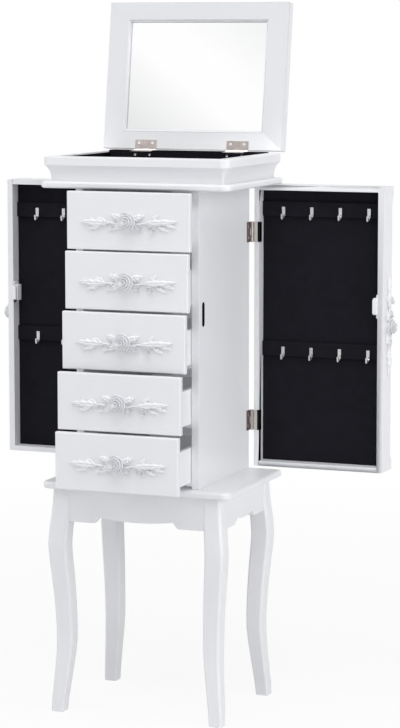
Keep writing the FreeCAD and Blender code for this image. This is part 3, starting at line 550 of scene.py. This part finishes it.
# Legs: the stations of the CAD leg, smoothed into one flowing surface between its two flat ends
legSmooth = {
    "names": ["leg_front_left", "leg_front_right", "leg_rear_left", "leg_rear_right"],
    "flat": 0.05, "level": 1e-5, "levels": 2, "footEase": 3.0, "segments": 4, "sharp": 60,
}
for name in legSmooth["names"]:
    leg = cleanCopy(name, legSmooth["flat"])
    editAll(leg)
    bpy.ops.mesh.select_mode(type="EDGE")
    bpy.ops.object.mode_set(mode="OBJECT")
    heights = [point.co.z for point in leg.data.vertices]
    flatEnds = (min(heights), max(heights))
    for edge in leg.data.edges:
        ends = [leg.data.vertices[index].co.z for index in edge.vertices]
        edge.select = any(all(abs(end - flat) < legSmooth["level"] for end in ends) for flat in flatEnds)
    bpy.ops.object.mode_set(mode="EDIT")
    bpy.ops.transform.edge_crease(value=1)
    bpy.ops.mesh.select_mode(type="VERT")
    bpy.ops.object.mode_set(mode="OBJECT")
    applied(leg, "SUBSURF", levels=legSmooth["levels"], render_levels=legSmooth["levels"])
    rounded(leg, legSmooth["footEase"], legSmooth["segments"], legSmooth["sharp"])
    settled(leg, camel(name) + "Smooth", bodyOf[name], "white_paint", name)
print("legs made")

# Painted filler in the joints between the legs and the aprons, one strip mirrored to each corner
filler = {
    "low": 306, "high": 354.9, "ease": 0.2,
    "spans": [((109.9, 114.0), (100.0, 111.0)), ((127.0, 138.0), (82.9, 87.0))],
}
fills = []
for spanX, spanY in filler["spans"]:
    for signX in (-1, 1):
        for signY in (-1, 1):
            left, right = sorted(signX * x for x in spanX)
            near, far = sorted(signY * y for y in spanY)
            fills.append(block((left, near, filler["low"]), (right, far, filler["high"])))
            rounded(fills[-1], filler["ease"])
settled(joined(fills, "fills"), "apronFiller", "cabinet", "white_paint")
print("apron filler made:", len(fills), "strips")

# Carved rose spray, modelled once, lying on its back with its relief along +Z
rose = {
    "rings": [
        {"petals": 5, "inner": 4.6, "rim": 13.3, "low": 0.6, "top": 6.8, "span": 92, "lip": 1.1, "turn": 10},
        {"petals": 5, "inner": 3.4, "rim": 10.3, "low": 3.0, "top": 10.6, "span": 92, "lip": 0.9, "turn": 46},
        {"petals": 4, "inner": 2.3, "rim": 7.2, "low": 6.0, "top": 13.6, "span": 112, "lip": 0.7, "turn": 5},
        {"petals": 3, "inner": 1.4, "rim": 4.2, "low": 9.0, "top": 15.2, "span": 140, "lip": 0.4, "turn": 50},
    ],
    "section": [(0, 0), (0.4, 0.25), (0.8, 0.68), (1, 1)],  # shares of a petal's reach and rise
    "lipDrop": 0.3, "steps": 10, "wall": 1.15, "droop": 0.34, "lean": 1.1, "flare": 0.05, "tuck": 0.17,
    "budRings": 2, "hearts": [(12.2, 6.1), (9.4, 9.6), (6.2, 12.6), (3.2, 14.3)], "heartMesh": (24, 16),
}


# one petal: its section is drawn point by point, spun about the rose's axis, then rounded at its corners
def makePetal(ring):
    reach = ring["rim"] - ring["inner"]
    rise = ring["top"] - ring["low"]
    section = [(ring["inner"] + out * reach, ring["low"] + up * rise) for out, up in rose["section"]]
    section.append((ring["rim"] + ring["lip"], ring["top"] - rose["lipDrop"] * ring["lip"]))
    petal = drawnLine([Vector((out, 0, up)) * mm for out, up in section])
    span = math.radians(ring["span"])
    bpy.ops.mesh.spin(steps=rose["steps"], angle=span, center=(0, 0, 0), axis=(0, 0, 1))
    bpy.ops.object.mode_set(mode="OBJECT")
    middle = span / 2

    def roundCorners(spot):
        angle = math.atan2(spot.y, spot.x)
        turned = angle if abs(angle - middle) <= abs(-angle - middle) else -angle
        side = (turned - middle) / middle
        height = max(0.0, (spot.z / mm - ring["low"]) / rise)
        drop = rose["droop"] * rise * height * abs(side) ** 3
        lift = rose["lean"] * height * side
        pull = 1 + height * (rose["flare"] - rose["tuck"] * side * side)
        return Vector((spot.x * pull, spot.y * pull, spot.z + (lift - drop) * mm))

    sculpt(petal, roundCorners)
    applied(petal, "SOLIDIFY", thickness=rose["wall"] * mm, offset=0)
    applied(petal, "SUBSURF", levels=1, render_levels=1)
    return petal


def makeRose(rings):
    pieces = []
    for ring in rings:
        petal = makePetal(ring)
        for number in range(ring["petals"]):
            pieces.append(copied(petal, rotation(ring["turn"] + 360 * number / ring["petals"], "Z")))
        bpy.data.objects.remove(petal)
    segments, rows = rose["heartMesh"]
    for wide, tall in rose["hearts"][-len(rings):]:
        pickOnly()
        bpy.ops.mesh.primitive_uv_sphere_add(
            segments=segments, ring_count=rows, radius=mm, location=(0, 0, 0))
        pieces.append(bpy.context.active_object)
        sculpt(pieces[-1], lambda spot: Vector((spot.x * wide, spot.y * wide, spot.z * tall)))
    return joined(pieces, "rose")


leaves = [
    {"root": (30, -2), "turn": 4, "length": 51, "width": 10.5, "lobes": 3, "height": 5.2, "curl": 1.2},
    {"root": (-32, -3), "turn": 178, "length": 45, "width": 12, "lobes": 3, "height": 5.2, "curl": 1.2},
    {"root": (-44, -7), "turn": 196, "length": 22, "width": 8, "lobes": 2, "height": 4.2, "curl": 0.8},
    {"root": (62, -3), "turn": -16, "length": 18, "width": 6.5, "lobes": 2, "height": 3.8, "curl": 0.6},
    {"root": (50, -7), "turn": -24, "length": 18, "width": 7, "lobes": 2, "height": 3.4, "curl": 0.4},
    {"root": (40, 2), "turn": 42, "length": 14, "width": 7, "lobes": 2, "height": 3.6, "curl": 0.6},
    {"root": (-36, 0), "turn": 158, "length": 14, "width": 6.5, "lobes": 2, "height": 3.6, "curl": 0.6},
    {"root": (8, 4), "turn": 16, "length": 20, "width": 10.5, "lobes": 3, "height": 5.2, "curl": 1.0},
    {"root": (-8, 4), "turn": 163, "length": 20, "width": 10.5, "lobes": 3, "height": 5.2, "curl": 1.0},
    {"root": (6, -7), "turn": -38, "length": 14, "width": 9, "lobes": 3, "height": 4.6, "curl": 0.6},
    {"root": (-8, -4), "turn": 209, "length": 20, "width": 10.5, "lobes": 3, "height": 4.8, "curl": 0.8},
    {"root": (-22, -8), "turn": 215, "length": 13, "width": 7, "lobes": 2, "height": 4.0, "curl": 0.6},
]
# the form that all leaves share, in shares of a leaf's own length, width and height
leafForm = {
    "grid": (36, 18), "sweep": 0.32, "phase": 0.55, "start": 0.05, "blunt": 0.85, "full": 0.7, "tip": 0.02,
    "lobeBase": 0.74, "lobeDepth": 0.26, "fall": 0.75, "groove": 0.4, "grooveWidth": 0.19,
    "ridge": 0.14, "ridgeStart": 2.5, "base": 0.3, "hump": 0.55, "rootHeight": 0.75, "rootRise": 2,
    "tipDrop": 0.35, "curl": 0.6, "deep": 20, "sunk": 1,
}


def makeLeaf(leaf):
    form = leafForm
    columns, rows = form["grid"]
    pickOnly()
    bpy.ops.mesh.primitive_grid_add(x_subdivisions=columns, y_subdivisions=rows, size=1, location=(0, 0, 0))
    piece = bpy.context.active_object
    half = leaf["width"] / 2

    def shape(spot):
        along, across = spot.x + 0.5, 2 * spot.y
        vein = leaf["lobes"] * (along - form["sweep"] * abs(across) * (1 - along))
        lobe = 0.5 + 0.5 * math.cos(2 * math.pi * (vein + form["phase"]))
        grown = min(1.0, along * (1 - form["start"]) + form["start"])
        outline = max(form["tip"], math.sin(math.pi * grown ** form["blunt"])) ** form["full"]
        edge = half * outline * (form["lobeBase"] + form["lobeDepth"] * lobe)
        groove = form["groove"] * math.exp(-(across / form["grooveWidth"]) ** 2)
        hump = 1 - form["fall"] * across ** 2 - groove
        ridge = form["ridge"] * lobe * min(1.0, abs(across) * form["ridgeStart"])
        rooted = min(1.0, form["rootHeight"] + form["rootRise"] * along)
        up = leaf["height"] * (form["base"] + form["hump"] * hump + ridge) * rooted
        up *= 1 - form["tipDrop"] * along ** 3
        up += leaf["curl"] * math.sin(math.pi * along) ** 2 * form["curl"]
        return Vector((leaf["length"] * along, across * edge, up)) * mm

    sculpt(piece, shape)
    editAll(piece)
    bpy.ops.mesh.extrude_region_move(TRANSFORM_OT_translate={"value": (0, 0, -form["deep"] * mm)})
    bpy.ops.object.mode_set(mode="OBJECT")
    sculpt(piece, lambda spot: Vector((spot.x, spot.y, max(spot.z, -form["sunk"] * mm))))
    root = Matrix.Translation(Vector((*leaf["root"], 0)) * mm)
    piece.data.transform(root @ rotation(leaf["turn"], "Z"))
    return piece


buds = [
    {"spot": (18.5, -6.5, 1.0), "turn": -60, "size": 0.72},
    {"spot": (40.5, -8.5, 0.8), "turn": -75, "size": 0.74},
    {"spot": (-24, -5, 0.6), "turn": 230, "size": 0.58},
    {"spot": (-37.5, -2, 0.8), "turn": 180, "size": 0.45},
]
stems = {
    "paths": [
        [(6, -3), (16, -4.5), (26, -1.5), (37, -3.5)],
        [(-6, -3), (-16, -4.5), (-26, -1.5), (-37, -3.5)],
        [(12, -4), (16, -6), (19, -6.5)],
    ],
    "radius": 1.5, "height": 1.6,
}


def makeTube(points, radius):
    line = bpy.data.curves.new("tube", "CURVE")
    line.dimensions = "3D"
    spline = line.splines.new("NURBS")
    spline.points.add(len(points) - 1)
    for spot, place in zip(spline.points, points):
        spot.co = (*(Vector(place) * mm), 1)
    spline.order_u = 3
    spline.use_endpoint_u = True
    line.bevel_depth = radius * mm
    line.use_fill_caps = True
    item = bpy.data.objects.new("tube", line)
    bpy.context.scene.collection.objects.link(item)
    pickOnly(item)
    bpy.ops.object.convert(target="MESH")
    return bpy.context.active_object


carving = {
    "voxel": 0.42, "triangles": 26000, "smooth": 0.5, "passes": 2, "sunk": 0.4, "budTilt": 28, "budBase": 6,
}


def makeCarving():
    pieces = [makeRose(rose["rings"])]
    budRose = makeRose(rose["rings"][-rose["budRings"]:])
    pieces += [makeLeaf(leaf) for leaf in leaves]
    for bud in buds:
        stand = Matrix.Translation(Vector(bud["spot"]) * mm) @ rotation(bud["turn"], "Z")
        stand = stand @ rotation(carving["budTilt"], "Y") @ Matrix.Scale(bud["size"], 4)
        pieces.append(copied(budRose, stand @ Matrix.Translation((0, 0, -carving["budBase"] * mm))))
    bpy.data.objects.remove(budRose)
    for path in stems["paths"]:
        pieces.append(makeTube([(x, y, stems["height"]) for x, y in path], stems["radius"]))
    whole = joined(pieces, "carving")
    whole.data.remesh_voxel_size = carving["voxel"] * mm
    whole.data.remesh_voxel_adaptivity = 0
    bpy.ops.object.voxel_remesh()
    applied(whole, "SMOOTH", factor=carving["smooth"], iterations=carving["passes"])
    sculpt(whole, lambda spot: Vector((spot.x, spot.y, max(spot.z, -carving["sunk"] * mm))))
    count = sum(len(face.vertices) - 2 for face in whole.data.polygons)
    applied(whole, "DECIMATE", ratio=min(1.0, carving["triangles"] / count))
    bpy.ops.object.shade_smooth()
    return whole


spray = makeCarving()
for number in drawerNumbers:
    name = f"drawer_{number}_carving"
    low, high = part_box(name)
    seat = Matrix.Translation(((low[0] + high[0]) / 2, high[1], (low[2] + high[2]) / 2))
    settled(copied(spray, seat @ toFront), f"drawer{number}Spray", f"drawer_{number}", "white_paint", name)
alongEdge = Matrix(((0, 0, 1, 0), (0, -1, 0, 0), (1, 0, 0, 0), (0, 0, 0, 1)))
for side, sign in (("right", 1), ("left", -1)):
    name = f"door_{side}_carving"
    low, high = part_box(name)
    face = low[0] if side == "right" else high[0]
    seat = Matrix.Translation((face, (low[1] + high[1]) / 2, (low[2] + high[2]) / 2))
    settled(copied(spray, seat @ Matrix.Diagonal((sign, 1, 1, 1)) @ alongEdge),
            f"door{side.capitalize()}Spray", f"door_{side}", "white_paint", name)
bpy.data.objects.remove(spray)
print("carving made and set on five drawers and two doors")

# Screw with a cross slot, its head up and the middle of its length at the origin
screw = {
    "radius": 2.1, "head": 0.7, "slot": (2.6, 0.55), "deep": 0.45, "ease": 0.18, "sides": 28, "sharp": 50,
}


def makeScrew():
    size = {"radius": screw["radius"] * mm, "depth": 2 * screw["head"] * mm}
    pickOnly()
    bpy.ops.mesh.primitive_cylinder_add(vertices=screw["sides"], **size)
    head = bpy.context.active_object
    long, wide = screw["slot"][0] / 2, screw["slot"][1] / 2
    slotFloor = screw["head"] - screw["deep"]
    for across, along in ((long, wide), (wide, long)):
        cutter = block((-across, -along, slotFloor), (across, along, 2 * screw["head"]))
        applied(head, "BOOLEAN", operation="DIFFERENCE", solver="EXACT", object=cutter)
        bpy.data.objects.remove(cutter)
    rounded(head, screw["ease"], sharp=screw["sharp"])
    return head


screwHead = makeScrew()
hinges = {"lidX": 78.5, "lidStep": 11.5, "doorZ": (443.5, 744.7), "doorStep": 9}
signs = (-1, 1)
lidX = [side * (hinges["lidX"] + step * hinges["lidStep"]) for side in (1, -1) for step in signs]
doorZ = [height + step * hinges["doorStep"] for height in hinges["doorZ"] for step in signs]
wallX = (-87, -62.4, 69.6, 94.2)
screwSets = {
    "lidLeafScrews": ("lid", rotation(90 - lidLean, "X"), [(x, 124.7, 882.48) for x in lidX]),
    "lidFixedScrews": ("cabinet", Matrix.Identity(4), [(x, 111.5, 870.2) for x in lidX]),
    "trayWallScrews": ("cabinet", toFront, [(x, 100.6, 864.5) for x in wallX]),
    "doorRightFixedScrews": ("cabinet", rotation(90, "Y"), [(102.1, 110.5, z) for z in doorZ]),
    "doorLeftFixedScrews": ("cabinet", rotation(-90, "Y"), [(-102.1, 110.5, z) for z in doorZ]),
}
for name, (body, turn, spots) in screwSets.items():
    heads = [copied(screwHead, Matrix.Translation(Vector(spot) * mm) @ turn) for spot in spots]
    settled(joined(heads, name), name, body, "bright_steel")
print("screws made")

# Necklace hook: a stamped strip, wide at its plate, that tapers round the bend of a J to its tip
hook = {
    "wide": 5.4, "narrow": 2.8, "taperPace": 1.15, "thick": 1.3, "ease": 0.35, "sharp": 50,
    "path": [(0, 3.6), (0, -4.4), (0, -10.6), (-2, -12.1), (-4.5, -14.2), (-6.5, -15.6), (-7.8, -15.8),
             (-8.6, -14.8), (-8.8, -12.6), (-8.9, -7.6)],
    "screwHeight": 1.6, "screwSize": 0.75,
    "bar": 136.5, "out": 1.45, "plateFront": 136.45, "row": 50, "pitch": 47.2,  # where the CAD plates are
}


def makeHook():
    strip = drawnLine([Vector((-0.5, out, up)) * mm for out, up in hook["path"]])
    bpy.ops.mesh.extrude_region_move(TRANSFORM_OT_translate={"value": (mm, 0, 0)})
    bpy.ops.object.mode_set(mode="OBJECT")
    reach = max(-out for out, up in hook["path"]) * mm
    taper = hook["wide"] - hook["narrow"]

    def narrowed(spot):
        share = min(1.0, -hook["taperPace"] * spot.y / reach)
        return Vector((spot.x * (hook["wide"] - taper * share), spot.y, spot.z))

    sculpt(strip, narrowed)
    applied(strip, "SOLIDIFY", thickness=hook["thick"] * mm, offset=0)
    rounded(strip, hook["ease"], sharp=hook["sharp"])
    seat = Matrix.Translation((0, -hook["thick"] / 2 * mm, hook["screwHeight"] * mm))
    head = copied(screwHead, seat @ toFront @ Matrix.Scale(hook["screwSize"], 4))
    return joined([strip, head], "hook")


hookMade = makeHook()
for side in ("right", "left"):
    name = f"door_{side}_hooks"
    plates = {}
    for point in nodes[name].data.vertices:
        spot = nodes[name].matrix_world @ point.co
        if spot.y > hook["plateFront"] * mm:
            cell = (round(spot.z / (hook["row"] * mm)), round(spot.x / (hook["pitch"] * mm)))
            plates.setdefault(cell, []).append(spot)
    print(side, "hook plates:", len(plates))
    hung = []
    for corners in plates.values():
        middle = sum(corners, Vector()) / len(corners)
        seat = Matrix.Translation((middle.x, (hook["bar"] - hook["out"]) * mm, middle.z))
        hung.append(copied(hookMade, seat))
    settled(joined(hung, name), f"door{side.capitalize()}Hooks", f"door_{side}", "bright_steel", name)
bpy.data.objects.remove(hookMade)
bpy.data.objects.remove(screwHead)
print("hooks made")

# Felt pad on the floor of each drawer
pad = {"thick": 1.2, "gap": 0.4, "wall": 8, "floor": 6, "lift": 0.05, "ease": 0.5}
for number in drawerNumbers:
    low, high = [corner / mm for corner in map(Vector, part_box(f"drawer_{number}_box"))]
    inset = pad["wall"] + pad["gap"]
    floorTop = low.z + pad["floor"] + pad["lift"]
    cloth = block((low.x + inset, low.y + pad["gap"], floorTop),
                  (high.x - inset, high.y - inset, floorTop + pad["thick"]))
    rounded(cloth, pad["ease"])
    settled(cloth, f"drawer{number}Felt", f"drawer_{number}", "black_felt")
print("drawer felt made")

# Felt over the tray's back rim, either side of the hinge leaves and between them, and down its front
rim = {
    "lining": 868.05, "low": 870.05, "high": 871.5, "lip": 100.5, "lipBack": 101.5, "front": 101.6,
    "back": 118.9, "end": 132.6, "leaf": (59.4, 97.6), "ease": 0.3,
}
leafNear, leafFar = rim["leaf"]
strips = []
for start, end in ((-rim["end"], -leafFar), (-leafNear, leafNear), (leafFar, rim["end"])):
    strips.append(block((start, rim["front"], rim["low"]), (end, rim["back"], rim["high"])))
    strips.append(block((start, rim["lip"], rim["lining"]), (end, rim["lipBack"], rim["high"])))
for start, end in ((-leafFar, -leafNear), (leafNear, leafFar)):
    strips.append(block((start, rim["lip"], rim["lining"]), (end, rim["lipBack"], rim["low"])))
for strip in strips:
    rounded(strip, rim["ease"])
settled(joined(strips, "rimFelt"), "trayRimFelt", "cabinet", "black_felt")
print("rim felt made:", len(strips), "strips")

# Black cup in each strike slot of the sides: a slot-shaped ring, drawn in from the side's face
cup = {
    "out": 101.2, "floor": 94.1, "middle": (-83.5, 633.0), "half": 5.4, "reach": 13.5, "wall": 0.7,
    "points": 24, "ease": 0.15,
}
for side, sign in (("Right", 1), ("Left", -1)):
    ring = []
    for step in range(cup["points"]):
        angle = 2 * math.pi * (step + 0.5) / cup["points"]
        y = cup["middle"][0] + cup["half"] * math.cos(angle)
        z = cup["middle"][1] + cup["half"] * math.sin(angle) + math.copysign(cup["reach"], math.sin(angle))
        ring.append((y, z))
    pickOnly()
    bpy.ops.mesh.primitive_circle_add(
        vertices=cup["points"], radius=mm, fill_type="NGON", location=(0, 0, 0))
    shell = bpy.context.active_object
    for point, (y, z) in zip(shell.data.vertices, ring):
        point.co = Vector((sign * cup["floor"], y, z)) * mm
    editAll(shell)
    outward = (sign * (cup["out"] - cup["floor"]) * mm, 0, 0)
    bpy.ops.mesh.extrude_region_move(TRANSFORM_OT_translate={"value": outward})
    bpy.ops.mesh.delete(type="ONLY_FACE")
    bpy.ops.mesh.select_all(action="SELECT")
    bpy.ops.mesh.normals_make_consistent(inside=False)
    bpy.ops.object.mode_set(mode="OBJECT")
    applied(shell, "SOLIDIFY", thickness=cup["wall"] * mm, offset=-1)
    rounded(shell, cup["ease"])
    settled(shell, f"strikeCup{side}", "cabinet", "black_felt")
print("strike cups made")

# Camera, where the photograph was taken from
view = {
    "place": (1.51064, -3.72036, 1.0535), "pitch": 82.75, "turn": 21.26,
    "lens": 127.70, "sensor": 36, "far": 100,
}
cameraData = bpy.data.cameras.new("camera")
cameraData.lens = view["lens"]
cameraData.sensor_width = view["sensor"]
cameraData.clip_end = view["far"]
camera = bpy.data.objects.new("camera", cameraData)
camera.location = view["place"]
camera.rotation_euler = (math.radians(view["pitch"]), 0, math.radians(view["turn"]))
bpy.context.scene.collection.objects.link(camera)
bpy.context.scene.camera = camera

# Soft studio light in a white room
lamps = {
    "front": {"place": (1.9, -2.9, 1.2), "aim": (0, 0, 0.55), "size": 2.4, "power": 18},
    "right": {"place": (3.3, -0.5, 1.4), "aim": (0, 0, 0.55), "size": 2.4, "power": 44},
    "top": {"place": (0.2, -1.2, 3.4), "aim": (0, 0, 0.5), "size": 2.6, "power": 57},
    "left": {"place": (-3.0, -1.6, 1.4), "aim": (0, 0, 0.55), "size": 2.4, "power": 29},
}
for name, lamp in lamps.items():
    data = bpy.data.lights.new(name + "Lamp", "AREA")
    data.shape = "DISK"
    data.size = lamp["size"]
    data.energy = lamp["power"]
    item = bpy.data.objects.new(name + "Lamp", data)
    item.location = lamp["place"]
    item.rotation_euler = (Vector(lamp["aim"]) - Vector(lamp["place"])).to_track_quat("-Z", "Y").to_euler()
    bpy.context.scene.collection.objects.link(item)

room = {"tone": (1, 1, 1, 1), "shown": 1.0, "lighting": 0.29}
world = bpy.data.worlds.new("room")
bpy.context.scene.world = world
world.use_nodes = True
air = Finish(world.node_tree)
seen = air.rays("Camera", "Glossy", "Transmission")
strength = air.ramp(seen, 0, 1, room["lighting"], room["shown"])
glow = air.add("ShaderNodeBackground", {}, {"Color": room["tone"], "Strength": strength})
air.add("ShaderNodeOutputWorld", {}, {"Surface": glow})

# Pale floor, white to the camera away from the object, that still takes its shadow
ground = {
    "size": 60, "tone": (0.86, 0.86, 0.87, 1), "white": (1, 1, 1, 1), "near": 0.9, "from": 0.5, "to": 2.2,
}
pickOnly()
bpy.ops.mesh.primitive_plane_add(size=ground["size"], location=(0, 0, 0))
floor = bpy.context.active_object
floor.name = "floor"
floorMaterial, cover = newFinish("floorWhite")
away = cover.add("ShaderNodeVectorMath", {"operation": "LENGTH"}, {0: cover.place()}, "Value")
plain = cover.add("ShaderNodeBsdfDiffuse", {}, {"Color": ground["tone"]})
lit = cover.add("ShaderNodeEmission", {}, {"Color": ground["white"], "Strength": 1.0})
share = cover.rays("Camera", "Glossy") * cover.ramp(away, ground["from"], ground["to"], ground["near"], 1.0)
surface = cover.add("ShaderNodeMixShader", {}, {0: share, 1: plain, 2: lit})
cover.add("ShaderNodeOutputMaterial", {}, {"Surface": surface})
floor.data.materials.append(floorMaterial)
bpy.context.scene.view_settings.view_transform = "Standard"
print("camera, lamps and floor set")
